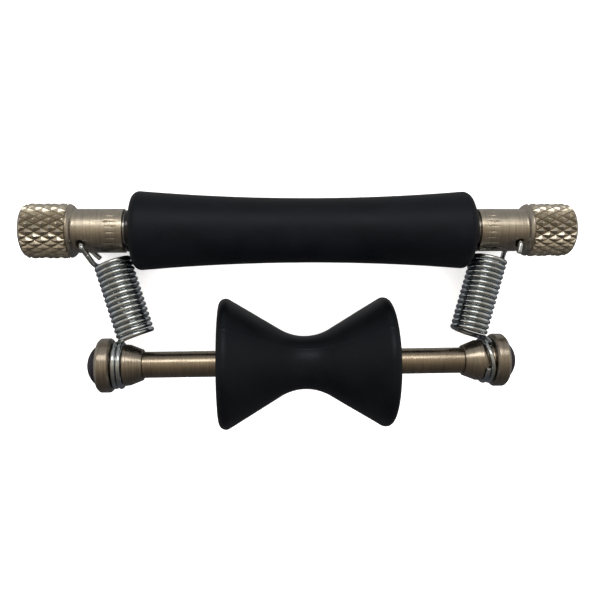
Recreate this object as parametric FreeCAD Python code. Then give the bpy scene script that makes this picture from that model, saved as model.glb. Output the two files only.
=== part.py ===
import FreeCAD, Part
import math
import os

# A rolling guitar capo.  A rubber string roller turns on an upper axle between two knurled knobs.
# An hourglass neck roller turns on a lower rod between two grooved spools.  An extension spring on
# each side runs from a cross hole in the knob's barrel down to two loops in the spool's groove, and
# pulls the two rollers together over the strings and the back of the neck.
#
# The capo lies flat.  X runs along both axles, +Y from the neck roller to the string roller, +Z up.
# The origin is the middle of the whole box, on the surface that the rollers rest on.  Millimetres.

# String roller
ROLLER_LEN = 68.4
ROLLER_END_D = 15.8
ROLLER_MID_D = 13.1
ROLLER_RIM_ROUND = 1.6
ROLLER_LIP_LEN = 1.2
CORE_OD = 9.6
CORE_WALL = 1.0

# Upper axle, its bushes and thrust washers
AXLE_D = 3.2
BUSH_LEN = 6.0
BUSH_FLANGE_D = 8.4
COLLAR_LEN = 1.2
THRUST_WASHER_D = 7.2
THRUST_WASHER_T = 0.25

# Knobs
BARREL_LEN = 9.65
SHOULDER_LEN = 1.45
SHOULDER_ROUND_RISE = 0.35
HEAD_STEP = 1.08
HEAD_LEN = 8.7
HEAD_ROUND = 1.5
HEAD_END_WALL = 3.0
LINER_WALL = 0.5
BEAD_LEN = 1.0
BEAD_DEPTH = 0.25
BEAD_INSET = 3.0
WIRE_HOLE_GAP = 0.27
WIRE_HOLE_INNER_WALL = 0.18
WIRE_HOLE_OUTER_WALL = 0.5
WIRE_HOLE_INSET = 1.6

# Springs
WIRE_D = 1.01
COIL_OD = 7.58
COIL_GAP = 0.055
COIL_COUNT = 16
RIDGE_HEIGHT = 0.28
LEAN_DEG = 17.6
HOOK_INNER_R = 0.52
TAIL_INNER_R = 0.12
TAIL_LEN = 2.5
LINK_DROP = 0.42
LINK_SHIFT = 0.7
LOOP_TURNS = 2

# Neck roller
RIM_D = 26.1
WAIST_D = 10.7
NECK_ROLLER_LEN = 34.5
RIM_ROUND = 1.4
WAIST_CURVE_R = 9.6
END_DOME = 0.35
END_DOME_D = 19.0

# Lower rod, spools and end screws
ROD_D = 5.2
SPOOL_BUSH_WALL = 0.6
GROOVE_FLOOR_WALL = 0.35
LIP_RISE = 0.5
LIP_LEN = 1.03
LIP_LINE_LEN = 0.16
LIP_LINE_DEPTH = 0.12
CONE_LEN = 2.65
CONE_TIP_WALL = 0.33
CONE_BORE_LEN = 1.8
FLANGE_RISE = 1.77
FLANGE_LEN = 2.85
FLANGE_IN_CHAMFER = 0.45
FLANGE_OUT_CHAMFER = 0.55
END_WASHER_D = 7.8
END_WASHER_T = 0.35
SCREW_HEAD_D = 7.0
SCREW_HEAD_H = 1.75
SCREW_HEAD_RIM = 0.35
SCREW_D = 3.0
SCREW_LEN = 8.0
SOCKET_AF = 2.0
SOCKET_DEPTH = 1.0

# Fits and clearances
RUN_FIT = 0.05
SIDE_GAP = 0.05
SCREW_FIT = 0.02
CONE_FIT = 0.12
AXLE_END_GAP = 0.5
LOOP_GAP = 0.12
LOOP_SIDE_GAP = 0.07
LOOP_WIRE_GAP = 0.04
BARREL_SPRING_GAP = 0.08
ROLLER_SPRING_GAP = 0.06
SPOOL_END_GAP = 0.1
HOOK_STAND_OFF = 1.6
TAIL_STAND_OFF = 0.7
CLOSED_WITHIN = 1e-6

# Radii that several pieces share
axle_r = AXLE_D / 2
wire_r = WIRE_D / 2
coil_r = COIL_OD / 2 - wire_r
coil_pitch = WIRE_D + COIL_GAP
roller_end_r = ROLLER_END_D / 2
rim_r = RIM_D / 2
rod_r = ROD_D / 2

# The barrel has to hold the axle, the liner and beside them the cross hole for the wire
hole_r = wire_r + WIRE_HOLE_GAP
knob_bore_r = axle_r + RUN_FIT + LINER_WALL
hole_v = knob_bore_r + WIRE_HOLE_INNER_WALL + hole_r
barrel_r = hole_v + hole_r + WIRE_HOLE_OUTER_WALL
head_r = barrel_r + HEAD_STEP

# Stations along X, out from the middle, on the upper axle
roller_half = ROLLER_LEN / 2
core_half = roller_half - ROLLER_LIP_LEN
collar_end = roller_half + COLLAR_LEN
washer_in = collar_end + SIDE_GAP
washer_out = washer_in + THRUST_WASHER_T
barrel_in = washer_out + SIDE_GAP
shoulder_in = barrel_in + BARREL_LEN
head_in = shoulder_in + SHOULDER_LEN
head_out = head_in + HEAD_LEN
bore_end = head_out - HEAD_END_WALL
axle_half = bore_end - AXLE_END_GAP
bead_mid = axle_half - BEAD_INSET

# The wire hole crosses the barrel on the side that faces the neck roller
hole_u = shoulder_in - WIRE_HOLE_INSET
hole_mouth = math.sqrt(barrel_r ** 2 - hole_v ** 2)

# The springs lie in the plane of the two axles.  In that plane u is the distance out along X and
# v is the distance from the upper axle towards the lower rod.  The coil leans outward at its top.
lean = math.radians(LEAN_DEG)
coil_dir_u = -math.sin(lean)
coil_dir_v = math.cos(lean)
out_u = math.cos(lean)
out_v = math.sin(lean)
coil_span = (COIL_COUNT - 1) * coil_pitch
top_v = barrel_r + BARREL_SPRING_GAP + wire_r + coil_r * out_v
rim_centre_u = roller_half - ROLLER_RIM_ROUND
rim_centre_v = roller_end_r - ROLLER_RIM_ROUND
coil_to_rim = coil_r + wire_r + ROLLER_RIM_ROUND + ROLLER_SPRING_GAP
top_u = (rim_centre_u * out_u + (rim_centre_v - top_v) * out_v + coil_to_rim) / out_u
bottom_u = top_u + coil_span * coil_dir_u
bottom_v = top_v + coil_span * coil_dir_v

# The spring's two loops sit in the spool's groove, so the spring's length sets the axle distance
spool_bush_r = rod_r + RUN_FIT + SPOOL_BUSH_WALL
floor_r = spool_bush_r + GROOVE_FLOOR_WALL
loop_r = floor_r + LOOP_GAP + wire_r
loop_pitch = WIRE_D + LOOP_WIRE_GAP
loop_out = bottom_u + coil_r * out_u + LINK_SHIFT
loop_in = loop_out - (LOOP_TURNS - 1) * loop_pitch
link_top_v = bottom_v + coil_r * out_v
axle_distance = link_top_v + LINK_DROP + loop_r

# Stations along X on the lower rod
groove_in = loop_in - wire_r - LOOP_SIDE_GAP
groove_out = loop_out + wire_r + LOOP_SIDE_GAP
lip_in = groove_in - LIP_LEN
cone_tip = lip_in - CONE_LEN
spool_out = groove_out + FLANGE_LEN
rod_half = spool_out + SPOOL_END_GAP

# Both rollers rest on the surface, so the plane of the axles rises towards the bigger neck roller
upper_z = roller_end_r
lower_z = rim_r
rise = math.asin((lower_z - upper_z) / axle_distance)
axle_gap_y = axle_distance * math.cos(rise)
upper_y = (axle_gap_y + rim_r - roller_end_r) / 2
lower_y = upper_y - axle_gap_y

X_DIR = FreeCAD.Vector(1, 0, 0)
Y_DIR = FreeCAD.Vector(0, 1, 0)
Z_DIR = FreeCAD.Vector(0, 0, 1)
UPPER = FreeCAD.Vector(0, upper_y, upper_z)
LOWER = FreeCAD.Vector(0, lower_y, lower_z)
TO_LOWER = (LOWER - UPPER).normalize()
PLANE_UP = TO_LOWER.cross(X_DIR)


def outline(points):
    """A closed wire from (x, r) points.  A pair of points is an arc: its middle, then its end."""
    start = FreeCAD.Vector(points[0][0], points[0][1], 0)
    edges = []
    here = start
    for step in points[1:]:
        if isinstance(step[0], tuple):
            middle = FreeCAD.Vector(step[0][0], step[0][1], 0)
            end = FreeCAD.Vector(step[1][0], step[1][1], 0)
            edges.append(Part.Arc(here, middle, end).toShape())
        else:
            end = FreeCAD.Vector(step[0], step[1], 0)
            edges.append(Part.LineSegment(here, end).toShape())
        here = end
    if not here.isEqual(start, CLOSED_WITHIN):
        edges.append(Part.LineSegment(here, start).toShape())
    return Part.Wire(edges)


def turned(points, centre):
    """A solid of revolution about the line through centre along X."""
    solid = Part.Face(outline(points)).revolve(FreeCAD.Vector(0, 0, 0), X_DIR, 360)
    return solid.translated(centre)


def corner_round(x_centre, r_centre, radius, start_deg, end_deg):
    """The middle and end of an arc in an outline, by its centre and angles from +X."""
    points = []
    for angle_deg in ((start_deg + end_deg) / 2, end_deg):
        angle = math.radians(angle_deg)
        points.append((x_centre + radius * math.cos(angle), r_centre + radius * math.sin(angle)))
    return (points[0], points[1])


def ring(x_in, x_out, r_in, r_out, centre):
    """A plain tube or washer along X."""
    return turned([(x_in, r_in), (x_out, r_in), (x_out, r_out), (x_in, r_out)], centre)


def mirrored(shape):
    """The left-hand copy of a right-hand piece."""
    return shape.mirror(FreeCAD.Vector(0, 0, 0), X_DIR)


def string_roller_sleeve():
    """The waisted soft rubber sleeve, with a lip inside each end that hides the core."""
    lip_r = BUSH_FLANGE_D / 2 + SCREW_FIT
    centre_x = rim_centre_u
    centre_r = rim_centre_v
    right_round = corner_round(centre_x, centre_r, ROLLER_RIM_ROUND, 0, 90)
    left_round = corner_round(-centre_x, centre_r, ROLLER_RIM_ROUND, 90, 180)
    waist = ((0, ROLLER_MID_D / 2), (-centre_x, roller_end_r))
    points = [(-core_half, CORE_OD / 2), (core_half, CORE_OD / 2), (core_half, lip_r)]
    points += [(roller_half, lip_r), (roller_half, centre_r), right_round, waist, left_round]
    points += [(-roller_half, lip_r), (-core_half, lip_r)]
    return turned(points, UPPER)


def string_roller_core():
    """The tube that the sleeve is pushed over."""
    return ring(-core_half, core_half, CORE_OD / 2 - CORE_WALL, CORE_OD / 2, UPPER)


def bush():
    """A flanged bush pressed into the end of the core: its flange is the black collar."""
    body_r = CORE_OD / 2 - CORE_WALL
    bore_r = axle_r + RUN_FIT
    points = [(core_half - BUSH_LEN, bore_r), (collar_end, bore_r)]
    points += [(collar_end, BUSH_FLANGE_D / 2), (core_half, BUSH_FLANGE_D / 2)]
    points += [(core_half, body_r), (core_half - BUSH_LEN, body_r)]
    return turned(points, UPPER)


def thrust_washer():
    """A thin washer between the collar and the barrel."""
    return ring(washer_in, washer_out, axle_r + RUN_FIT, THRUST_WASHER_D / 2, UPPER)


def upper_axle():
    """The axle, with a groove near each end for the bead inside a knob's liner."""
    groove_r = axle_r - BEAD_DEPTH
    groove_half = BEAD_LEN / 2 + SIDE_GAP
    points = [(-axle_half, 0), (axle_half, 0), (axle_half, axle_r)]
    for middle in (bead_mid, -bead_mid):
        points += [(middle + groove_half, axle_r), (middle + groove_half, groove_r)]
        points += [(middle - groove_half, groove_r), (middle - groove_half, axle_r)]
    points += [(-axle_half, axle_r)]
    return turned(points, UPPER)


def knob():
    """A knob turned from one bar: the barrel, a rounded shoulder and the head, bored blind."""
    shoulder_mid = ((shoulder_in + head_in) / 2, (barrel_r + head_r) / 2 + SHOULDER_ROUND_RISE)
    corner_x = head_out - HEAD_ROUND
    corner_r = head_r - HEAD_ROUND
    points = [(barrel_in, knob_bore_r), (barrel_in, barrel_r), (shoulder_in, barrel_r)]
    points += [(shoulder_mid, (head_in, head_r)), (corner_x, head_r)]
    points += [corner_round(corner_x, corner_r, HEAD_ROUND, 90, 0)]
    points += [(head_out, 0), (bore_end, 0), (bore_end, knob_bore_r)]
    hole_start = UPPER + X_DIR * hole_u + TO_LOWER * hole_v - PLANE_UP * 2 * head_r
    hole = Part.makeCylinder(hole_r, 4 * head_r, hole_start, PLANE_UP)
    return turned(points, UPPER).cut(hole)


def knob_liner():
    """A plastic liner that grips the axle: its inner bead snaps into the axle's groove."""
    bore_r = axle_r + RUN_FIT
    bead_r = bore_r - BEAD_DEPTH
    bead_half = BEAD_LEN / 2
    end = bore_end - SIDE_GAP
    points = [(barrel_in, bore_r), (bead_mid - bead_half, bore_r), (bead_mid - bead_half, bead_r)]
    points += [(bead_mid + bead_half, bead_r), (bead_mid + bead_half, bore_r), (end, bore_r)]
    points += [(end, knob_bore_r), (barrel_in, knob_bore_r)]
    return turned(points, UPPER)


def neck_roller():
    """The hourglass roller.  Each flank is the line that touches the waist curve and the rim."""
    waist_r = WAIST_D / 2
    half = NECK_ROLLER_LEN / 2
    rim_x = half - RIM_ROUND
    rim_centre_r = rim_r - RIM_ROUND
    waist_centre_r = waist_r + WAIST_CURVE_R
    centre_dx = rim_x
    centre_dr = rim_centre_r - waist_centre_r
    centre_gap = math.hypot(centre_dx, centre_dr)
    line_turn = math.asin((WAIST_CURVE_R + RIM_ROUND) / centre_gap)
    flank = math.atan2(centre_dr, centre_dx) + line_turn
    flank_x = WAIST_CURVE_R * math.sin(flank)
    flank_r = waist_centre_r - WAIST_CURVE_R * math.cos(flank)
    touch_deg = 90 + math.degrees(flank)
    touch_x = rim_x - RIM_ROUND * math.sin(flank)
    touch_r = rim_centre_r + RIM_ROUND * math.cos(flank)
    dome_mid_r = (rod_r + END_DOME_D / 2) / 2
    right_dome = ((half + END_DOME, dome_mid_r), (half, END_DOME_D / 2))
    left_dome = ((-half - END_DOME, dome_mid_r), (-half, rod_r))
    points = [(-half, rod_r), (half, rod_r), right_dome, (half, rim_centre_r)]
    points += [corner_round(rim_x, rim_centre_r, RIM_ROUND, 0, touch_deg), (flank_x, flank_r)]
    points += [((0, waist_r), (-flank_x, flank_r)), (-touch_x, touch_r)]
    points += [corner_round(-rim_x, rim_centre_r, RIM_ROUND, 180 - touch_deg, 180)]
    points += [(-half, END_DOME_D / 2), left_dome]
    return turned(points, LOWER)


def lower_rod():
    """The rod through the neck roller, tapped at each end for a screw."""
    thread_r = SCREW_D / 2
    hole_end = rod_half - SCREW_LEN - SIDE_GAP
    points = [(-hole_end, 0), (hole_end, 0), (hole_end, thread_r), (rod_half, thread_r)]
    points += [(rod_half, rod_r), (-rod_half, rod_r), (-rod_half, thread_r), (-hole_end, thread_r)]
    return turned(points, LOWER)


def spool():
    """A turned spool: cone, thin lip with a fine line, groove for the loops, and a flange."""
    cone_bore_r = rod_r + CONE_FIT
    bush_in = cone_tip + CONE_BORE_LEN
    lip_r = floor_r + LIP_RISE
    flange_r = floor_r + FLANGE_RISE
    line_mid = lip_in + LIP_LINE_LEN
    points = [(cone_tip, cone_bore_r), (bush_in, cone_bore_r), (bush_in, spool_bush_r)]
    points += [(spool_out, spool_bush_r), (spool_out, flange_r - FLANGE_OUT_CHAMFER)]
    points += [(spool_out - FLANGE_OUT_CHAMFER, flange_r), (groove_out + FLANGE_IN_CHAMFER, flange_r)]
    points += [(groove_out, flange_r - FLANGE_IN_CHAMFER), (groove_out, floor_r)]
    points += [(groove_in, floor_r), (groove_in, lip_r), (line_mid + LIP_LINE_LEN, lip_r)]
    points += [(line_mid, lip_r - LIP_LINE_DEPTH), (line_mid - LIP_LINE_LEN, lip_r)]
    points += [(cone_tip, cone_bore_r + CONE_TIP_WALL)]
    return turned(points, LOWER)


def spool_bush():
    """The plain bearing bush inside a spool."""
    bush_in = cone_tip + CONE_BORE_LEN
    return ring(bush_in, spool_out, rod_r + RUN_FIT, spool_bush_r, LOWER)


def end_washer():
    """The washer that the screw clamps against the rod's end, to keep the spool on."""
    return ring(rod_half, rod_half + END_WASHER_T, SCREW_D / 2, END_WASHER_D / 2, LOWER)


def end_screw():
    """A button-head screw: a domed head with a hexagon socket, and a plain shank for its thread."""
    under_head = rod_half + END_WASHER_T
    head_end = under_head + SCREW_HEAD_H
    rim_end = under_head + SCREW_HEAD_RIM
    half_d = SCREW_HEAD_D / 2
    dome_h = SCREW_HEAD_H - SCREW_HEAD_RIM
    dome_r = (half_d ** 2 + dome_h ** 2) / (2 * dome_h)
    dome_centre = head_end - dome_r
    half_angle = math.asin(half_d / dome_r) / 2
    dome_mid = (dome_centre + dome_r * math.cos(half_angle), dome_r * math.sin(half_angle))
    shank_r = SCREW_D / 2 - SCREW_FIT
    shank_end = rod_half - SCREW_LEN
    points = [(shank_end, 0), (shank_end, shank_r), (under_head, shank_r), (under_head, half_d)]
    points += [(rim_end, half_d), (dome_mid, (head_end, 0))]
    socket_r = SOCKET_AF / math.sqrt(3)
    corners = []
    for number in range(7):
        angle = math.radians(60 * number)
        corners.append(LOWER + FreeCAD.Vector(head_end - SOCKET_DEPTH,
                                              socket_r * math.cos(angle),
                                              socket_r * math.sin(angle)))
    socket = Part.Face(Part.makePolygon(corners)).extrude(X_DIR * 2 * SOCKET_DEPTH)
    return turned(points, LOWER).cut(socket)


def bent_wire(points, radii):
    """Round wire along straight runs, with an arc of the given radius at each corner."""
    edges = []
    here = points[0]
    for corner, after, radius in zip(points[1:-1], points[2:], radii):
        back = (here - corner).normalize()
        ahead = (after - corner).normalize()
        half_turn = (math.pi - back.getAngle(ahead)) / 2
        reach = radius * math.tan(half_turn)
        start = corner + back * reach
        end = corner + ahead * reach
        middle_dir = (back + ahead).normalize()
        middle = corner + middle_dir * (radius / math.cos(half_turn) - radius)
        edges.append(Part.LineSegment(here, start).toShape())
        edges.append(Part.Arc(start, middle, end).toShape())
        here = end
    edges.append(Part.LineSegment(here, points[-1]).toShape())
    path = Part.Wire(edges)
    section = Part.Wire(Part.makeCircle(wire_r, points[0], points[1] - points[0]))
    return path.makePipeShell([section], True, True)


def ridged_tube(mean_r, pitch, count):
    """Close-wound turns of wire as one tube along X with a round ridge for each turn."""
    inner_r = mean_r - wire_r
    peak_r = mean_r + wire_r
    valley_r = peak_r - RIDGE_HEIGHT
    start = -pitch / 2
    points = [(start, inner_r), (start, valley_r)]
    for turn in range(count):
        points.append(((turn * pitch, peak_r), ((turn + 0.5) * pitch, valley_r)))
    points.append(((count - 0.5) * pitch, inner_r))
    return turned(points, FreeCAD.Vector(0, 0, 0))


def spring():
    """One extension spring, in its own axes: u out, v towards the lower rod, w to the lead's side."""
    coil = ridged_tube(coil_r, coil_pitch, COIL_COUNT)
    coil.rotate(FreeCAD.Vector(0, 0, 0), Z_DIR, 90 + LEAN_DEG)
    coil.translate(FreeCAD.Vector(top_u, top_v, 0))
    loops = ridged_tube(loop_r, loop_pitch, LOOP_TURNS)
    loops.translate(FreeCAD.Vector(loop_in, axle_distance, 0))
    coil_end = FreeCAD.Vector(top_u + coil_r * out_u, top_v + coil_r * out_v, 0)
    lead_foot = coil_end + FreeCAD.Vector(0, -WIRE_D / 2, COIL_OD / 4)
    hook_top = FreeCAD.Vector(hole_u, hole_v, hole_mouth + HOOK_STAND_OFF)
    hook_back = FreeCAD.Vector(hole_u, hole_v, -hole_mouth - TAIL_STAND_OFF)
    tail_dir = FreeCAD.Vector(-math.sin(lean), math.cos(lean), -math.sin(lean) / 2)
    tail_end = hook_back + tail_dir.normalize() * TAIL_LEN
    tail_bend_r = TAIL_INNER_R + wire_r
    hook = bent_wire([coil_end, lead_foot, hook_top, hook_back, tail_end],
                     [tail_bend_r, HOOK_INNER_R + wire_r, tail_bend_r])
    link_top = FreeCAD.Vector(loop_out - LINK_SHIFT, link_top_v, 0)
    link_run = FreeCAD.Vector(LINK_SHIFT, LINK_DROP, 0)
    link = Part.makeCylinder(wire_r, link_run.Length, link_top, link_run)
    return coil.fuse([hook, link, loops])


def spring_on(side):
    """The spring in its place.  The right one is the left one turned half round."""
    out_axis = X_DIR * side
    lead_axis = PLANE_UP * -side
    turn = FreeCAD.Rotation(out_axis, TO_LOWER, lead_axis, "XYZ")
    placed = spring()
    placed.Placement = FreeCAD.Placement(UPPER, turn)
    return placed


nodes = {
    "string_roller_sleeve": string_roller_sleeve(),
    "string_roller_core": string_roller_core(),
    "upper_axle": upper_axle(),
    "neck_roller": neck_roller(),
    "lower_rod": lower_rod(),
    "spring_right": spring_on(1),
    "spring_left": spring_on(-1),
}

paired_pieces = {
    "bush": bush(),
    "thrust_washer": thrust_washer(),
    "knob": knob(),
    "knob_liner": knob_liner(),
    "spool": spool(),
    "spool_bush": spool_bush(),
    "end_washer": end_washer(),
    "end_screw": end_screw(),
}
for name, shape in paired_pieces.items():
    nodes[name + "_right"] = shape
    nodes[name + "_left"] = mirrored(shape)

os.makedirs("parts", exist_ok=True)
for name, shape in nodes.items():
    shape.exportStep("parts/" + name + ".step")
    print(name, "valid", shape.isValid(), "solids", len(shape.Solids), "mm3", round(shape.Volume, 2))
print("axle distance", round(axle_distance, 3), "rise deg", round(math.degrees(rise), 2))
print("upper axle at", round(upper_y, 3), round(upper_z, 3))
print("lower rod at", round(lower_y, 3), round(lower_z, 3))
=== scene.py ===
# %% [markdown]
# # A rolling capo, piece by piece
# A capo clamps the strings of a guitar. This one rolls: a waisted rubber roller lies on the
# strings, an hourglass roller runs behind the neck, and a spring on each side pulls them together.
# The frame is the imported CAD model. Its bodies carry every piece but the springs' leads and
# coils.

# %% Load the frame
import math
import random

import bmesh
import bpy
from mathutils import Matrix, Vector


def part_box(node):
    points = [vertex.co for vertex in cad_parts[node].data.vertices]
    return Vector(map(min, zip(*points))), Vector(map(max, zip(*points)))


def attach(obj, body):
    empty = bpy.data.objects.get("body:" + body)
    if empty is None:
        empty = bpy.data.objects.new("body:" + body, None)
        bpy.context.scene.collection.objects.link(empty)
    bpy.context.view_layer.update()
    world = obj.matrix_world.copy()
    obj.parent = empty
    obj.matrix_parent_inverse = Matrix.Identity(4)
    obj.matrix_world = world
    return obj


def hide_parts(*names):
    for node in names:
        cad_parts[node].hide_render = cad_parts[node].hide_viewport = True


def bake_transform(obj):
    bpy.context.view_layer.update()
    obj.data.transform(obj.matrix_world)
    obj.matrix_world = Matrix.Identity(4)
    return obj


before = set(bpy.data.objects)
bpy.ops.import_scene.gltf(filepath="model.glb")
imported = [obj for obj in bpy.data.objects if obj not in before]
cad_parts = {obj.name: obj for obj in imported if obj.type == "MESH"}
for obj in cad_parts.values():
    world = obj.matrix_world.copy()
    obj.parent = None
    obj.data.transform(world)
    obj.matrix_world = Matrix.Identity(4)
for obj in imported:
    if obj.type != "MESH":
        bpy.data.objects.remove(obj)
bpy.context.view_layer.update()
MM = 0.001
ALONG = Vector((1, 0, 0))


# %% [markdown]
# ## Two axes
# Everything on this object is turned about one of two parallel axes, so the places come from the
# boxes of two CAD nodes: the upper axle and the lower rod. The springs lie in the plane of both.

# %% The two axes and the plane between them
def middle_of(node):
    """The middle of a CAD node's box."""
    low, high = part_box(node)
    return (low + high) / 2


UPPER = middle_of("upper_axle")
LOWER = middle_of("lower_rod")
TO_LOWER = (LOWER - UPPER).normalized()
PLANE_UP = TO_LOWER.cross(ALONG)
print("axles", [round(x / MM, 2) for x in (UPPER.y, UPPER.z, LOWER.y, LOWER.z)], "mm")

# %% [markdown]
# ## Camera
# The viewer looks almost straight down, a little from the far side, with a normal lens close by,
# which makes the nearer left end look larger. The camera's axes are the rows of one turn matrix.

# %% Camera
VIEW_PITCH = math.radians(8)
VIEW_YAW = math.radians(3.65)
VIEW_DISTANCE = 132.6
VIEW_SIDE = 0.71
VIEW_DROP = 14.18
LENS = 39
SENSOR_WIDTH = 36
turn = Matrix.Rotation(VIEW_PITCH, 3, "X") @ Matrix.Rotation(VIEW_YAW, 3, "Y")
to_eye = turn.transposed() @ Vector((-VIEW_SIDE, -VIEW_DROP, VIEW_DISTANCE)) * MM
camera_data = bpy.data.cameras.new("camera")
camera_data.lens = LENS
camera_data.sensor_width = SENSOR_WIDTH
camera_data.clip_start = 0.01
camera = bpy.data.objects.new("camera", camera_data)
camera.matrix_world = Matrix.Translation(UPPER + to_eye) @ turn.transposed().to_4x4()
bpy.context.scene.collection.objects.link(camera)
bpy.context.scene.camera = camera
print("camera height", round(camera.matrix_world.translation.z / MM), "mm")

# %% [markdown]
# ## Lamps
# A window panel behind the sleeve adds one long highlight. A large wash panel overhead whitens the
# floor. It stays out of the reflections, as black cards in a studio would keep it, so the rubber
# stays black. Area lights are used because their soft edges suit curved metal.


# %% Panels
def panel(name, place, size, power, colour, mirrored=True, aim=Vector((0, 0, 0.005))):
    """A soft rectangular light that faces the object."""
    light = bpy.data.lights.new(name, "AREA")
    light.shape = "RECTANGLE"
    light.size, light.size_y = size
    light.energy = power
    light.color = colour
    lamp = bpy.data.objects.new(name, light)
    lamp.location = place
    lamp.rotation_euler = (aim - Vector(place)).to_track_quat("-Z", "Y").to_euler()
    lamp.visible_glossy = mirrored
    bpy.context.scene.collection.objects.link(lamp)


panel("window_panel", place=(0, 0.285, 0.30), size=(0.30, 0.11), power=0.42,
      colour=(1, 0.98, 0.94))
panel("wash_panel", place=(0, 0.02, 0.7), size=(1.0, 1.0), power=10.0, colour=(1, 1, 1),
      mirrored=False)

# %% [markdown]
# ## Room
# Satin metal only looks like metal when it has something light and something dark to mirror. The
# room's colour changes with direction: paler behind the sleeve, darker in front of the hourglass,
# so turned pieces go from light to dark across their width. The list gives an angle in degrees
# from straight up, positive towards +Y, and the colour there. Both sides glow a little more.

# %% Room
ROOM_BY_ANGLE = ((-180, (0.10, 0.10, 0.11)), (-120, (0.08, 0.08, 0.09)),
                 (-75, (0.08, 0.075, 0.07)), (-44, (0.13, 0.118, 0.10)),
                 (-18, (0.22, 0.19, 0.155)), (0, (0.38, 0.33, 0.26)),
                 (25, (0.62, 0.56, 0.46)), (50, (0.66, 0.62, 0.55)), (75, (0.44, 0.43, 0.42)),
                 (100, (0.36, 0.36, 0.36)), (140, (0.42, 0.42, 0.42)), (175, (0.2, 0.2, 0.2)))
SIDE_GLOW = 0.3
SIDE_GLOW_FROM = 0.7
world = bpy.data.worlds.new("room")
world.use_nodes = True
room = world.node_tree
way = room.nodes.new("ShaderNodeTexCoord").outputs["Object"]
parts = room.nodes.new("ShaderNodeSeparateXYZ")
room.links.new(way, parts.inputs[0])
around = room.nodes.new("ShaderNodeMath")
around.operation = "ARCTAN2"
room.links.new(parts.outputs["Y"], around.inputs[0])
room.links.new(parts.outputs["Z"], around.inputs[1])
share = room.nodes.new("ShaderNodeMapRange")
share.inputs["From Min"].default_value = -math.pi
share.inputs["From Max"].default_value = math.pi
room.links.new(around.outputs[0], share.inputs["Value"])
by_angle = room.nodes.new("ShaderNodeValToRGB")
while len(by_angle.color_ramp.elements) < len(ROOM_BY_ANGLE):
    by_angle.color_ramp.elements.new(0.5)
for element, (angle_deg, colour) in zip(by_angle.color_ramp.elements, ROOM_BY_ANGLE):
    element.position = (angle_deg + 180) / 360
    element.color = (*colour, 1)
room.links.new(share.outputs["Result"], by_angle.inputs["Fac"])
sideways = room.nodes.new("ShaderNodeMath")
sideways.operation = "ABSOLUTE"
room.links.new(parts.outputs["X"], sideways.inputs[0])
side_glow = room.nodes.new("ShaderNodeMapRange")
side_glow.inputs["From Min"].default_value = SIDE_GLOW_FROM
side_glow.inputs["To Max"].default_value = SIDE_GLOW
room.links.new(sideways.outputs[0], side_glow.inputs["Value"])
total = room.nodes.new("ShaderNodeVectorMath")
room.links.new(by_angle.outputs["Color"], total.inputs[0])
room.links.new(side_glow.outputs["Result"], total.inputs[1])
room.links.new(total.outputs[0], room.nodes["Background"].inputs["Color"])
bpy.context.scene.world = world
bpy.context.scene.view_settings.view_transform = "Standard"
print("room colours", len(ROOM_BY_ANGLE))

# %% [markdown]
# ## Floor
# One flat sheet is enough for a pale floor. It is staging, so it isn't part of the object, and it
# is kept out of the reflections like the wash panel.

# %% Floor
FLOOR_HALF = 1.5
FLOOR_GLOW = 0.45
floor_mesh = bmesh.new()
bmesh.ops.create_grid(floor_mesh, x_segments=1, y_segments=1, size=FLOOR_HALF)
floor_data = bpy.data.meshes.new("floor")
floor_mesh.to_mesh(floor_data)
floor_mesh.free()
floor = bpy.data.objects.new("floor", floor_data)
floor.visible_glossy = False
bpy.context.scene.collection.objects.link(floor)
print("floor", 2 * FLOOR_HALF, "m wide")

# %% [markdown]
# ## Building blocks for a finish
# A finish is a Principled shader with procedural detail round it. Sizes are given in millimetres
# on the object and turned into the texture's scale, and patterns read Object coordinates, which
# don't slide because every piece's object sits at the origin.


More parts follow.
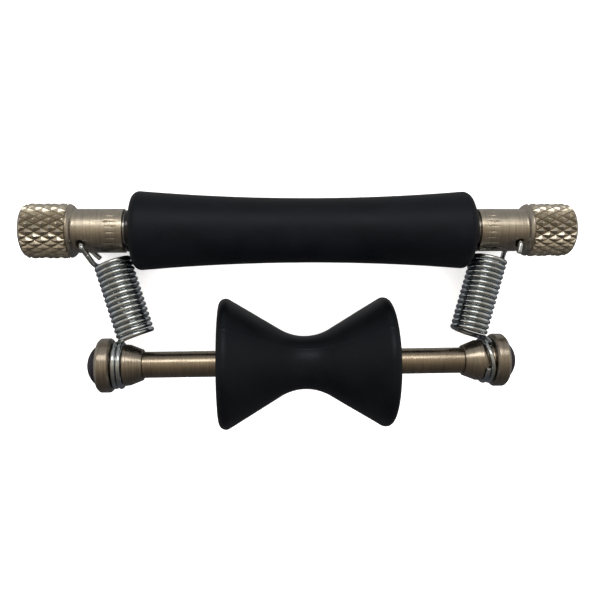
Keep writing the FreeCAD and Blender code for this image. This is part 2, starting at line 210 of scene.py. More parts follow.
# %% Small helpers for shader nodes
class Finish:
    """A material with its Principled shader, and short ways to add what feeds it."""

    def __init__(self, name, metallic=0.0, roughness=0.5, **settings):
        self.material = bpy.data.materials.new(name)
        self.material.use_nodes = True
        self.tree = self.material.node_tree
        self.shader = self.tree.nodes["Principled BSDF"]
        self.place = self.tree.nodes.new("ShaderNodeTexCoord").outputs["Object"]
        self.set(Metallic=metallic, Roughness=roughness)
        for label, value in settings.items():
            self.shader.inputs[label.replace("_", " ")].default_value = value

    def set(self, **values):
        """Sets the shader's own sockets."""
        for label, value in values.items():
            self.shader.inputs[label].default_value = value

    def node(self, kind, links=(), **settings):
        """Adds a node, and links or sets its inputs."""
        made = self.tree.nodes.new("ShaderNode" + kind)
        for label, value in settings.items():
            setattr(made, label, value)
        for label, value in dict(links).items():
            if isinstance(value, bpy.types.NodeSocket):
                self.tree.links.new(value, made.inputs[label])
            else:
                made.inputs[label].default_value = value
        return made

    def feed(self, label, socket):
        """Links an output to one of the shader's inputs."""
        self.tree.links.new(socket, self.shader.inputs[label])

    def stretched(self, factors):
        """Object coordinates in millimetres, squeezed by a factor on each axis."""
        scale = [1000 * factor for factor in factors]
        links = {"Vector": self.place, "Scale": scale}
        return self.node("Mapping", links).outputs["Vector"]

    def noise(self, size, detail=3.0, factors=(1, 1, 1)):
        """Cloudy variation whose patches are about this many millimetres across."""
        where = self.stretched([factor / size for factor in factors])
        links = {"Vector": where, "Scale": 1.0, "Detail": detail}
        return self.node("TexNoise", links).outputs["Fac"]

    def rings(self, size, wobble=0.0):
        """Fine lines round the X axis, as a lathe tool leaves."""
        where = self.stretched((1 / size, 0.02 / size, 0.02 / size))
        links = {"Vector": where, "Scale": 1.0, "Distortion": wobble, "Detail": 2.0}
        return self.node("TexWave", links, bands_direction="X").outputs["Fac"]

    def ramp(self, factor, *stops):
        """A factor turned into colours, by stops of (position, colour)."""
        made = self.node("ValToRGB", {"Fac": factor})
        while len(made.color_ramp.elements) < len(stops):
            made.color_ramp.elements.new(0.5)
        for element, (position, colour) in zip(made.color_ramp.elements, stops):
            element.position = position
            element.color = (*colour, 1)
        return made.outputs["Color"]

    def spread(self, factor, low, high, start=0.0, end=1.0):
        """A factor mapped to the range from low to high."""
        links = {"Value": factor, "From Min": start, "From Max": end, "To Min": low, "To Max": high}
        return self.node("MapRange", links).outputs["Result"]

    def mix(self, factor, first, second):
        """A mix of two colours. A Mix node has them on inputs 0, 6 and 7, and on output 2."""
        links = {0: factor, 6: first, 7: second}
        return self.node("Mix", links, data_type="RGBA").outputs[2]

    def bump(self, height, strength, distance, after=None):
        """Bumps of a height in millimetres, on top of other bumps if there are any."""
        links = {"Height": height, "Strength": strength, "Distance": distance * MM}
        if after is not None:
            links["Normal"] = after
        return self.node("Bump", links).outputs["Normal"]


# %% [markdown]
# ## Rubber
# The string roller's sleeve is soft matt rubber; the neck roller is harder and a little shinier.
# A fine grain breaks up the highlight, and a faint paler bloom shows where hands touched it.


# %% Rubber finishes
DUST = (0.03, 0.032, 0.036, 1)


def rubber(name, dark, pale, roughness, grain):
    """Matt black with patches, a little dust and a fine grain."""
    finish = Finish(name, Specular_IOR_Level=0.21, Specular_Tint=(0.72, 0.84, 1.0, 1))
    patch = finish.noise(9, 4)
    speck = finish.noise(0.5, 2)
    tone = finish.ramp(patch, (0.35, dark), (0.7, pale))
    dusty = finish.mix(finish.spread(speck, 0, 0.12, 0.66, 0.8), tone, DUST)
    finish.feed("Base Color", dusty)
    low, high = roughness
    finish.feed("Roughness", finish.spread(patch, low, high, 0.3, 0.7))
    coarse = finish.bump(finish.noise(1.4, 3), 0.25, 0.04)
    finish.feed("Normal", finish.bump(finish.noise(0.16, 3), grain, 0.012, coarse))
    return finish.material


soft_rubber = rubber("soft_rubber", dark=(0.0016, 0.0018, 0.0026), pale=(0.0030, 0.0033, 0.0044),
                     roughness=(0.46, 0.58), grain=0.5)
hard_rubber = rubber("hard_rubber", dark=(0.0014, 0.0015, 0.0021), pale=(0.0026, 0.0028, 0.0036),
                     roughness=(0.36, 0.48), grain=0.35)
print("rubber finishes made")

# %% [markdown]
# ## Turned and plated metal
# Nickel plate over a turned surface keeps the lathe's fine rings, so the highlight spreads round
# the piece. The plate's colour drifts between grey and champagne, and handling leaves softer
# patches and a few short scratches.


# %% Turned metal finishes
TARNISH = (0.12, 0.1, 0.08, 1)


def turned_metal(name, cool, warm, roughness, line_depth=0.004, line_size=0.09):
    """Metal with a lathe's lines, whose colour drifts from cool to warm."""
    finish = Finish(name, metallic=1.0)
    drift = finish.noise(5, 3, (0.5, 1, 1))
    streak = finish.noise(0.25, 2, (1, 0.05, 0.05))
    tone = finish.ramp(drift, (0.35, cool), (0.65, warm))
    shaded = finish.mix(finish.spread(streak, 0, 0.35, 0.35, 0.7), tone, TARNISH)
    finish.feed("Base Color", shaded)
    low, high = roughness
    wear = finish.noise(2.2, 4)
    finish.feed("Roughness", finish.spread(wear, low, high, 0.3, 0.7))
    lines = finish.bump(finish.rings(line_size, 2.5), 0.5, line_depth)
    finish.feed("Normal", finish.bump(finish.noise(0.12, 2, (1, 0.15, 0.15)), 0.35, 0.004, lines))
    return finish.material


barrel_nickel = turned_metal("barrel_nickel", (0.50, 0.45, 0.39), (0.60, 0.54, 0.44), (0.24, 0.36))
spool_nickel = turned_metal("spool_nickel", (0.36, 0.32, 0.27), (0.47, 0.41, 0.33), (0.18, 0.28))
rod_steel = turned_metal("rod_steel", (0.32, 0.27, 0.21), (0.44, 0.37, 0.28), (0.2, 0.3),
                         line_depth=0.003, line_size=0.12)
ground_steel = turned_metal("ground_steel", (0.42, 0.42, 0.42), (0.52, 0.52, 0.51), (0.2, 0.3),
                            line_depth=0.002)
drawn_aluminium = turned_metal("drawn_aluminium", (0.7, 0.71, 0.72), (0.8, 0.8, 0.8), (0.3, 0.42))
oiled_bronze = turned_metal("oiled_bronze", (0.36, 0.22, 0.1), (0.5, 0.33, 0.17), (0.35, 0.5))
print("turned metal finishes made")

# %% [markdown]
# ## Knurl and spring wire
# The knurl's finish reads how high each point stands, which is stored on the mesh later: it is
# darker and rougher towards the valleys and smoother on the points. Spring wire is zinc plated,
# bluish and nearly a mirror, with a few dull stains.


# %% Finishes for the knurl and the springs
# A dark brown that the valleys of the knurl are mixed towards.
VALLEY_DARK = (0.16, 0.14, 0.10, 1)
STAIN = (0.25, 0.26, 0.25, 1)


def knurled_nickel():
    """Plate that is darker and rougher in the knurl's valleys and smoother on its points."""
    finish = Finish("knurled_nickel", metallic=1.0)
    height = finish.node("Attribute", attribute_name="knurl_height").outputs["Fac"]
    drift = finish.noise(3, 3)
    tone = finish.ramp(drift, (0.3, (0.54, 0.49, 0.40)), (0.7, (0.67, 0.61, 0.51)))
    # How far the colour goes towards the dark brown: most on the valley floors, none on the points.
    valley_darkening = finish.spread(height, 0.8, 0.0, 0.02, 0.35)
    finish.feed("Base Color", finish.mix(valley_darkening, tone, VALLEY_DARK))
    finish.feed("Roughness", finish.spread(height, 0.42, 0.2, 0.0, 0.8))
    finish.feed("Normal", finish.bump(finish.noise(0.22, 3), 0.4, 0.02))
    return finish.material


def spring_plate():
    """Bright zinc on drawn wire: bluish, nearly a mirror, with fine draw marks."""
    finish = Finish("spring_plate", metallic=1.0)
    drift = finish.noise(2.4, 3)
    tone = finish.ramp(drift, (0.3, (0.42, 0.46, 0.48)), (0.6, (0.60, 0.64, 0.66)))
    stain = finish.noise(0.7, 3)
    finish.feed("Base Color", finish.mix(finish.spread(stain, 0, 0.5, 0.58, 0.75), tone, STAIN))
    finish.feed("Roughness", finish.spread(stain, 0.08, 0.2, 0.3, 0.7))
    finish.feed("Normal", finish.bump(finish.noise(0.15, 3), 0.25, 0.008))
    return finish.material


knurl_nickel = knurled_nickel()
spring_zinc = spring_plate()
print("knurl and spring finishes made")

# %% [markdown]
# ## Plastics and black steel
# The collars are glossy black acetal, the liners are natural nylon, and the end screws are steel
# with a black oxide skin that has a slight violet cast.


# %% Plastic and blackened finishes
def plain(name, dark, pale, roughness, metallic=0.0, patch=2.5):
    """A moulded or blackened surface with soft patches and a slight unevenness."""
    finish = Finish(name, metallic=metallic)
    finish.feed("Base Color", finish.ramp(finish.noise(patch, 3), (0.3, dark), (0.7, pale)))
    low, high = roughness
    finish.feed("Roughness", finish.spread(finish.noise(0.8, 3), low, high, 0.3, 0.7))
    finish.feed("Normal", finish.bump(finish.noise(0.2, 2), 0.3, 0.006))
    return finish.material


black_acetal = plain("black_acetal", (0.002, 0.002, 0.0025), (0.004, 0.004, 0.0045), (0.12, 0.2))
liner_nylon = plain("liner_nylon", (0.62, 0.58, 0.5), (0.72, 0.68, 0.6), (0.4, 0.5))
black_steel = plain("black_steel", (0.012, 0.010, 0.014), (0.024, 0.02, 0.026), (0.26, 0.4),
                    metallic=0.6)
floor_white = plain("floor_white", (0.9, 0.9, 0.9), (0.93, 0.93, 0.93), (0.7, 0.8), patch=60)
floor_shader = floor_white.node_tree.nodes["Principled BSDF"]
floor_shader.inputs["Emission Color"].default_value = (1, 1, 1, 1)
floor_shader.inputs["Emission Strength"].default_value = FLOOR_GLOW
floor.data.materials.append(floor_white)
print("plastic and black finishes made")

# %% [markdown]
# ## Turning
# Most pieces are lathe work. The outline is drawn as a chain of points, distance along the axis
# and radius, and a third number rounds that corner with a vertex bevel. Spin then sweeps the
# outline round the axis. Modelling the corners before the spin is cheaper than bevelling rings.


# %% The lathe
LATHE_STEPS = 96


def turned(points, centre, side=1, closed=False, steps=LATHE_STEPS):
    """Spins an outline of (x, r) or (x, r, round) points, in millimetres, about the X axis."""
    work = bmesh.new()
    chain = [work.verts.new(centre + Vector((side * point[0], 0, point[1])) * MM)
             for point in points]
    for pair in zip(chain, chain[1:] + chain[:1] if closed else chain[1:]):
        work.edges.new(pair)
    for corner, point in zip(chain, points):
        if len(point) == 3:
            bmesh.ops.bevel(work, geom=[corner], offset=point[2] * MM, offset_type="OFFSET",
                            segments=5, profile=0.5, affect="VERTICES", material=-1)
    bmesh.ops.spin(work, geom=work.verts[:] + work.edges[:], cent=centre, axis=ALONG,
                   angle=2 * math.pi, steps=steps, use_merge=True)
    bmesh.ops.remove_doubles(work, verts=work.verts, dist=0.001 * MM)
    bmesh.ops.recalc_face_normals(work, faces=work.faces)
    return work


def arc(centre_x, centre_r, radius, start_deg, end_deg, pieces=8):
    """Points on an arc of an outline, by angles from +X."""
    found = []
    for number in range(pieces + 1):
        angle = math.radians(start_deg + (end_deg - start_deg) * number / pieces)
        found.append((centre_x + radius * math.cos(angle), centre_r + radius * math.sin(angle)))
    return found


def finished(work, name, material, stands_for=(), flat=False, even=True):
    """Makes the piece's object with its finish, and hides the CAD nodes that it stands for."""
    mesh = bpy.data.meshes.new(name)
    work.to_mesh(mesh)
    work.free()
    mesh.materials.append(material)
    for face in mesh.polygons:
        face.use_smooth = not flat
    piece = bpy.data.objects.new(name, mesh)
    bpy.context.scene.collection.objects.link(piece)
    if even and not flat:
        piece.modifiers.new("even_shading", "WEIGHTED_NORMAL")
    if stands_for:
        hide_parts(*stands_for)
    print(name, len(mesh.polygons), "faces")
    return piece


SIDES = {"right": 1, "left": -1}
print("hands", SIDES)

# %% [markdown]
# ## The string roller
# A tube of soft rubber, ground to a slight waist so that it follows the curve of a fingerboard.
# Its ends have rounded rims and a lip that hides the metal core. A flanged collar sits in each end.
# The waist is one long arc through three known points, so its radius follows from its drop.

# %% Sleeve
SLEEVE_HALF = 34.2
SLEEVE_END_R = 7.9
SLEEVE_MID_R = 6.55
SLEEVE_ROUND = 1.6
LIP_X = 33.0
LIP_R = 4.22
LIP_ROUND = 0.2
LINING_R = 4.8
waist_chord = SLEEVE_HALF - SLEEVE_ROUND
waist_drop = SLEEVE_END_R - SLEEVE_MID_R
waist_r = (waist_chord ** 2 + waist_drop ** 2) / (2 * waist_drop)
half_angle = math.degrees(math.asin(waist_chord / waist_r))
waist = arc(0, SLEEVE_MID_R + waist_r, waist_r, 270 - half_angle, 270 + half_angle, 40)
right_rim = arc(waist_chord, SLEEVE_END_R - SLEEVE_ROUND, SLEEVE_ROUND, 90, 0)
left_rim = arc(-waist_chord, SLEEVE_END_R - SLEEVE_ROUND, SLEEVE_ROUND, 180, 90)
sleeve_outline = left_rim[:-1] + waist + right_rim[1:]
sleeve_outline += [(SLEEVE_HALF, LIP_R, LIP_ROUND), (LIP_X, LIP_R), (LIP_X, LINING_R)]
sleeve_outline += [(-LIP_X, LINING_R), (-LIP_X, LIP_R), (-SLEEVE_HALF, LIP_R, LIP_ROUND)]
sleeve = finished(turned(sleeve_outline, UPPER, closed=True, steps=128), "string_sleeve",
                  soft_rubber, ["string_roller_sleeve"])
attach(sleeve, "string_roller")

# %% [markdown]
# ## The collars
# A collar is a turned plug of glossy black plastic with a flange that covers the sleeve's end. Its
# hole is the roller's bearing on the axle. Only its flange shows, as a dark ring by the barrel.

# %% Collars
COLLAR_IN = 27.0
COLLAR_OUT = 35.4
COLLAR_BORE_R = 1.65
COLLAR_FLANGE_R = 4.2
COLLAR_PLUG_R = 3.8
collar_outline = [(COLLAR_IN, COLLAR_BORE_R), (COLLAR_OUT, COLLAR_BORE_R, 0.1)]
collar_outline += [(COLLAR_OUT, COLLAR_FLANGE_R, 0.3), (LIP_X, COLLAR_FLANGE_R)]
collar_outline += [(LIP_X, COLLAR_PLUG_R), (COLLAR_IN, COLLAR_PLUG_R)]
for hand, side in SIDES.items():
    collar = finished(turned(collar_outline, UPPER, side, closed=True), "collar_" + hand,
                      black_acetal, ["bush_" + hand])
    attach(collar, "string_roller")

# %% [markdown]
# ## The knobs
# Each knob is turned from one bar: a smooth barrel that the spring's hook goes through, a rounded
# shoulder, and a knurled head. Distances are from the middle of the capo. The shoulder's outline
# is the arc through its two ends and one point between, found by solving for the arc's centre.

# %% Knob sizes and shoulder
BARREL_IN = 35.75
BARREL_R = 4.38
HEAD_R = 5.46
SHOULDER_IN = 45.4
SHOULDER_MIDDLE = (46.125, 5.27)
HEAD_IN = 46.85
HEAD_OUT = 55.55
HEAD_ROUND = 1.5
KNURL_DEPTH = 0.5
KNURL_IN = 46.35
KNURL_OUT = 55.1
BORE_R = 2.15
BORE_END = 52.55
HOLE_X = 43.8
HOLE_V = 3.105
HOLE_R = 0.775
valley_r = HEAD_R - KNURL_DEPTH


def shoulder_points():
    """The convex shoulder between the barrel and the head, on the arc through three points."""
    start = Vector((SHOULDER_IN, BARREL_R))
    middle = Vector(SHOULDER_MIDDLE)
    end = Vector((HEAD_IN, HEAD_R))
    matrix = Matrix((middle - start, end - middle))
    target = Vector(((middle.length_squared - start.length_squared) / 2,
                     (end.length_squared - middle.length_squared) / 2))
    centre = matrix.inverted() @ target
    angles = [math.degrees(math.atan2(p.y - centre.y, p.x - centre.x)) for p in (start, end)]
    return arc(centre.x, centre.y, (start - centre).length, angles[0], angles[1], 10)


shoulder = shoulder_points()


def envelope(x):
    """The largest radius that the turned head has at a distance along its axis."""
    corner_x = HEAD_OUT - HEAD_ROUND
    if x > corner_x:
        reach = max(HEAD_ROUND ** 2 - (x - corner_x) ** 2, 0)
        return HEAD_R - HEAD_ROUND + math.sqrt(reach)
    for (x0, r0), (x1, r1) in zip(shoulder, shoulder[1:]):
        if x <= x1:
            return r0 + (r1 - r0) * (x - x0) / (x1 - x0)
    return HEAD_R


print("shoulder", len(shoulder), "points")

# %% [markdown]
# ## Strokes on the barrel
# The barrel carries a ring of engraved strokes that shows how far the knob is wound. The outline
# has points at the strokes' ends, so the spin leaves faces of the right length. Every fourth of
# them is inset and pushed inward, and every fourth stroke goes on into the next ring of faces.

# %% Engraving
STROKE_IN = 37.1
STROKE_OUT = 38.7
LONG_STROKE_OUT = 39.6
STROKE_EVERY = 4
LONG_EVERY = 16
STROKE_EDGE = 0.05
STROKE_DEPTH = 0.07


def engrave(work, side):
    """Pushes in a ring of narrow faces as strokes, with every fourth one longer."""
    facet_deg = 360 / LATHE_STEPS
    wheel = {}
    for face in work.faces:
        middle = face.calc_center_median() - UPPER
        x = side * middle.x / MM
        radius = math.hypot(middle.y, middle.z) / MM
        if radius > BARREL_R - 0.1 and STROKE_IN < x < LONG_STROKE_OUT:
            angle_deg = math.degrees(math.atan2(middle.z, middle.y))
            number = round(angle_deg / facet_deg - 0.5) % LATHE_STEPS
            wheel[(number, x > STROKE_OUT)] = face
    strokes = [face for (number, far), face in wheel.items()
               if number % (LONG_EVERY if far else STROKE_EVERY) == 0]
    bmesh.ops.inset_individual(work, faces=strokes, thickness=STROKE_EDGE * MM,
                               depth=-STROKE_DEPTH * MM)
    return len(strokes)


print("strokes from", STROKE_IN, "to", LONG_STROKE_OUT, "mm")

# %% [markdown]
# ## Drilling
# A hole across a curved surface is quickest as a Boolean. The drill is a bmesh cone with equal
# radii, and the piece keeps the Boolean's result as its mesh, so no live modifier needs the drill.


# %% The drill
def cut_hole(piece, segments, radius, depth, place, way):
    """Cuts a hole centred on a place with a Boolean and keeps its result as the mesh."""
    drill = bmesh.new()
    bmesh.ops.create_cone(drill, cap_ends=True, segments=segments, radius1=radius * MM,
                          radius2=radius * MM, depth=depth * MM)
    up_to = Vector((0, 0, 1)).rotation_difference(way).to_matrix().to_4x4()
    bmesh.ops.transform(drill, matrix=Matrix.Translation(place) @ up_to, verts=drill.verts)
    drill_mesh = bpy.data.meshes.new("drill")
    drill.to_mesh(drill_mesh)
    drill.free()
    tool = bpy.data.objects.new("drill", drill_mesh)
    bpy.context.scene.collection.objects.link(tool)
    cut = piece.modifiers.new("hole", "BOOLEAN")
    cut.object = tool
    cut.solver = "EXACT"
    bpy.context.view_layer.update()
    result = piece.evaluated_get(bpy.context.evaluated_depsgraph_get())
    new_mesh = bpy.data.meshes.new_from_object(result)
    piece.modifiers.clear()
    old_mesh = piece.data
    piece.data = new_mesh
    bpy.data.meshes.remove(old_mesh)
    bpy.data.objects.remove(tool)
    bpy.data.meshes.remove(drill_mesh)
    piece.data.name = piece.name
    piece.modifiers.new("even_shading", "WEIGHTED_NORMAL")
    print(piece.name, "drilled,", len(new_mesh.polygons), "faces")


# %% [markdown]
# ## Barrels
# The outline runs along the barrel, up the shoulder, under the knurl and over the head's rounded
# end to the slightly dished end face, then back through the blind bore.

# %% Barrels with strokes and cross hole
HOLE_MARGIN = 1.2
CORE_R = valley_r - 0.1
END_FACE_R = 3.2
END_DISH = 0.02
ROUND_X = (55.12, 55.25, 55.38, 55.48, 55.53)
HOLE_FACETS = 40
HOLE_LENGTH = 14
outline = [(BARREL_IN, BORE_R, 0.1), (BARREL_IN, BARREL_R, 0.12), (STROKE_IN, BARREL_R)]
outline += [(STROKE_OUT, BARREL_R), (LONG_STROKE_OUT, BARREL_R)]
outline += [(HOLE_X - HOLE_MARGIN, BARREL_R), (HOLE_X + HOLE_MARGIN, BARREL_R)]
outline += [point for point in shoulder if point[0] < KNURL_IN - 0.05]
outline += [(KNURL_IN - 0.04, CORE_R), (HEAD_OUT - HEAD_ROUND, CORE_R)]
outline += [(x, envelope(x)) for x in ROUND_X]
outline += [(HEAD_OUT, HEAD_R - HEAD_ROUND), (HEAD_OUT, END_FACE_R), (HEAD_OUT - END_DISH, 0)]
outline += [(BORE_END, 0), (BORE_END, BORE_R)]
for hand, side in SIDES.items():
    work = turned(outline, UPPER, side, closed=True)
    print("strokes", engrave(work, side))
    barrel = finished(work, "knob_barrel_" + hand, barrel_nickel,
                      ["knob_" + hand], even=False)
    hole_place = UPPER + ALONG * side * HOLE_X * MM + TO_LOWER * HOLE_V * MM
    cut_hole(barrel, HOLE_FACETS, HOLE_R, HOLE_LENGTH, hole_place, PLANE_UP)
    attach(barrel, hand + "_knob")

# %% [markdown]
# ## Knurling
# A knurl is rolled in by two wheels with opposite slants, which leaves rows of diamond points. The
# flat pattern is made first: poke a grid, dissolve its first edges, and what is left is a sheet of
# diamonds. Each is inset and raised to a small flat point, and the sheet is wrapped round the head.
# A Subdivision or displacement map would blur the points, and they are what catches the light.

# %% Knurled sheet
POINTS_ROUND = 20
POINTS_ALONG = 3
POINT_INSET = 0.6
UNEVEN = 0.07
EVEN_ENDS = 0.8
SKIRT = 0.5


def knurl(side):
    """The closed knurled sleeve of one head, with slightly uneven points."""
    chance = random.Random(7)
    work = bmesh.new()
    bmesh.ops.create_grid(work, x_segments=POINTS_ALONG, y_segments=POINTS_ROUND, size=0.5)
    length = (KNURL_OUT - KNURL_IN) * MM
    girth = 2 * math.pi * HEAD_R * MM
    bmesh.ops.scale(work, vec=(length, girth, 1), verts=work.verts)
    first_edges = [edge for edge in work.edges if not edge.is_boundary]
    bmesh.ops.poke(work, faces=work.faces[:])
    bmesh.ops.dissolve_edges(work, edges=first_edges, use_verts=False)
    points = work.faces[:]
    bmesh.ops.inset_individual(work, faces=points, thickness=POINT_INSET * MM,
                               depth=KNURL_DEPTH * MM, use_even_offset=True)
    for point in points:
        shift = Vector([chance.uniform(-UNEVEN, UNEVEN) for axis in range(3)]) * MM
        if min(abs(vert.co.x) for vert in point.verts) < length / 2 - EVEN_ENDS * MM:
            bmesh.ops.translate(work, vec=shift, verts=point.verts)
    bmesh.ops.subdivide_edges(work, edges=work.edges[:], cuts=2, use_grid_fill=True)
    for vert in work.verts:
        x = (KNURL_IN + KNURL_OUT) / 2 + vert.co.x / MM
        angle = vert.co.y / girth * 2 * math.pi
        radius = min(valley_r + vert.co.z / MM, envelope(x)) * MM
        around_axle = (radius * math.sin(angle), radius * math.cos(angle))
        vert.co = UPPER + Vector((side * x * MM, *around_axle))
    bmesh.ops.remove_doubles(work, verts=work.verts, dist=0.01 * MM)
    for end in (KNURL_IN, KNURL_OUT):
        rim = [edge for edge in work.edges if edge.is_boundary
               and abs(side * edge.verts[0].co.x / MM - end) < 0.01]
        made = bmesh.ops.extrude_edge_only(work, edges=rim)["geom"]
        inward = [item for item in made if isinstance(item, bmesh.types.BMVert)]
        for vert in inward:
            out = Vector((0, vert.co.y - UPPER.y, vert.co.z - UPPER.z))
            vert.co -= out.normalized() * SKIRT * MM
    inner_rims = [edge for edge in work.edges if edge.is_boundary]
    bmesh.ops.bridge_loops(work, edges=inner_rims)
    bmesh.ops.recalc_face_normals(work, faces=work.faces)
    return work


print("diamonds round the head", POINTS_ROUND)

# %% [markdown]
# The knurl keeps flat shading, so its facets stay crisp. Its height is stored for the finish.


# %% Knurled heads
def mark_height(piece):
    """Stores how high each point of the knurl stands, from 0 in a valley to 1 at a peak."""
    store = piece.data.attributes.new("knurl_height", "FLOAT", "POINT")
    for index, vert in enumerate(piece.data.vertices):
        radius = math.hypot(vert.co.y - UPPER.y, vert.co.z - UPPER.z) / MM
        store.data[index].value = max((radius - valley_r) / KNURL_DEPTH, 0)


for hand, side in SIDES.items():
    head = finished(knurl(side), "knob_knurl_" + hand, knurl_nickel, flat=True)
    mark_height(head)
    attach(head, hand + "_knob")

# %% [markdown]
# ## The neck roller
# A harder rubber hourglass, moulded in two halves. Straight flanks meet a round waist, the rims are
# rounded, and the end faces are slightly domed. Each flank touches the waist's arc and the rim's,
# and its angle follows from that. Half the outline is worked out, and the other half mirrors it.

# %% Hourglass outline
RIM_R = 13.05
WAIST_R = 5.35
ROLLER_HALF = 17.25
RIM_ROUND = 1.4
WAIST_CURVE_R = 9.6
ROD_R = 2.6
END_BORE = 17.15
rim_x = ROLLER_HALF - RIM_ROUND
rim_centre_r = RIM_R - RIM_ROUND
centre_rise = rim_centre_r - WAIST_R - WAIST_CURVE_R
centre_gap = math.hypot(rim_x, centre_rise)
flank = math.atan2(centre_rise, rim_x) + math.asin((WAIST_CURVE_R + RIM_ROUND) / centre_gap)
flank_deg = math.degrees(flank)
half_outline = arc(0, WAIST_R + WAIST_CURVE_R, WAIST_CURVE_R, 270, 270 + flank_deg, 12)
waist_end = half_outline[-1]
rim = arc(rim_x, rim_centre_r, RIM_ROUND, 90 + flank_deg, 0, 12)
for share in (0.02, 0.5, 0.98):
    half_outline.append(tuple(Vector(waist_end).lerp(Vector(rim[0]), share)))
half_outline += rim
half_outline += [(ROLLER_HALF, 9.5), (17.4, 8.2), (17.57, 6.4), (17.6, 5.0), (17.5, 3.6)]
half_outline += [(17.3, 2.77, 0.1)]
mirrored_half = [(-point[0], *point[1:]) for point in half_outline[:0:-1]]
hourglass_outline = mirrored_half + half_outline
hourglass_outline += [(END_BORE, ROD_R), (-END_BORE, ROD_R)]
print("flanks lean", round(flank_deg, 1), "degrees")

# %% [markdown]
# ## Mould lines
# The mould left a thin raised line along each side. One column of edges is bevelled and its middle
# lifted. The whole roller is first turned a little, so that a column lies where the line belongs.

# %% Hourglass with its mould lines
HOURGLASS_STEPS = 144
MOULD_LINE_DEG = (43, 223)
LINE_END = 16.5
LINE_HALF_WIDTH = 0.09
LINE_RISE = 0.05


def add_mould_lines(work):
    """Raises a thin line along the roller at each angle of the mould's parting."""
    for angle_deg in MOULD_LINE_DEG:
        angle = math.radians(angle_deg)
        out = Vector((0, math.sin(angle), math.cos(angle)))
        column = []
        for edge in work.edges:
            middle = (edge.verts[0].co + edge.verts[1].co) / 2 - LOWER
            across = middle - out * middle.dot(out)
            along = abs((edge.verts[0].co - edge.verts[1].co).dot(ALONG))
            if middle.dot(out) > 5 * MM and abs(across.y) + abs(across.z) < 0.3 * MM:
                if abs(middle.x) < LINE_END * MM and along > 0.05 * MM:
                    column.append(edge)
        made = bmesh.ops.bevel(work, geom=column, offset=LINE_HALF_WIDTH * MM,
                               offset_type="OFFSET", segments=2, profile=0.5, affect="EDGES",
                               material=-1)
        raised = set()
        for vert in made["verts"]:
            place = vert.co - LOWER
            across = place - out * place.dot(out)
            if math.hypot(across.y, across.z) < 0.02 * MM:
                raised.add(vert)
        for vert in raised:
            vert.co += out * LINE_RISE * MM
        print("mould line", len(column), "edges,", len(raised), "points raised")


work = turned(hourglass_outline, LOWER, closed=True, steps=HOURGLASS_STEPS)
step_deg = 360 / HOURGLASS_STEPS
turn_to_line = Matrix.Rotation(-math.radians(MOULD_LINE_DEG[0] % step_deg), 4, "X")
bmesh.ops.rotate(work, cent=LOWER, matrix=turn_to_line, verts=work.verts)
add_mould_lines(work)
hourglass = finished(work, "neck_hourglass", hard_rubber, ["neck_roller"])
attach(hourglass, "neck_roller_shaft")

# %% [markdown]
# ## The rod
# The rod runs through the hourglass and both spools, with eased ends and a screw hole in each.

# %% Rod
ROD_HALF = 40.95
ROD_ROUND = 0.3
ROD_PLAIN = 20
SCREW_HOLE_R = 1.5
SCREW_HOLE_END = 32.9
rod_outline = [(-ROD_HALF, SCREW_HOLE_R), (-ROD_HALF, ROD_R, ROD_ROUND)]
rod_outline += [(-ROD_PLAIN, ROD_R), (ROD_PLAIN, ROD_R)]
rod_outline += [(ROD_HALF, ROD_R, ROD_ROUND), (ROD_HALF, SCREW_HOLE_R)]
rod_outline += [(SCREW_HOLE_END, SCREW_HOLE_R), (SCREW_HOLE_END, 0)]
rod_outline += [(-SCREW_HOLE_END, 0), (-SCREW_HOLE_END, SCREW_HOLE_R)]
rod = finished(turned(rod_outline, LOWER, closed=True), "shaft", rod_steel,
               ["lower_rod"])
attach(rod, "neck_roller_shaft")

# %% [markdown]
# ## End rings and end screws
# A button-head screw and a ring keep each spool on. The screw's dome is an arc spun round the
# axis, with a radius that follows from its width and height. Its hexagon socket is a Boolean.

# %% End rings and end screws
RING_OUT = 41.3
RING_R = 3.9
RING_ROUND = 0.08
SCREW_IN = 32.95
SCREW_R = 1.48
DOME_EDGE_R = 3.5
DOME_RISE = 1.4
HEAD_TOP = 43.05
SOCKET_R = 1.155
SOCKET_DEPTH = 2
dome_r = (DOME_EDGE_R ** 2 + DOME_RISE ** 2) / (2 * DOME_RISE)
dome_half = math.degrees(math.asin(DOME_EDGE_R / dome_r))
ring_outline = [(ROD_HALF, SCREW_HOLE_R), (ROD_HALF, RING_R, RING_ROUND)]
ring_outline += [(RING_OUT, RING_R, RING_ROUND), (RING_OUT, SCREW_HOLE_R)]
screw_outline = [(SCREW_IN, 0), (SCREW_IN, SCREW_R, 0.3), (RING_OUT, SCREW_R)]
screw_outline += [(RING_OUT, DOME_EDGE_R, 0.1)]
screw_outline += arc(HEAD_TOP - dome_r, 0, dome_r, dome_half, 0, 12)
for hand, side in SIDES.items():
    ring = finished(turned(ring_outline, LOWER, side, closed=True), "end_ring_" + hand,
                    black_steel, ["end_washer_" + hand])
    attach(ring, "neck_roller_shaft")
    screw = finished(turned(screw_outline, LOWER, side), "end_screw_cap_" + hand,
                     black_steel, ["end_screw_" + hand], even=False)
    socket_place = LOWER + ALONG * side * HEAD_TOP * MM
    cut_hole(screw, 6, SOCKET_R, SOCKET_DEPTH, socket_place, ALONG)
    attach(screw, "neck_roller_shaft")

# %% [markdown]
# ## The spools
# A spool is a cone, a thin lip with a fine line cut in it, a groove that the spring's loops sit in,
# and a flange with eased edges. It is one outline, spun once.

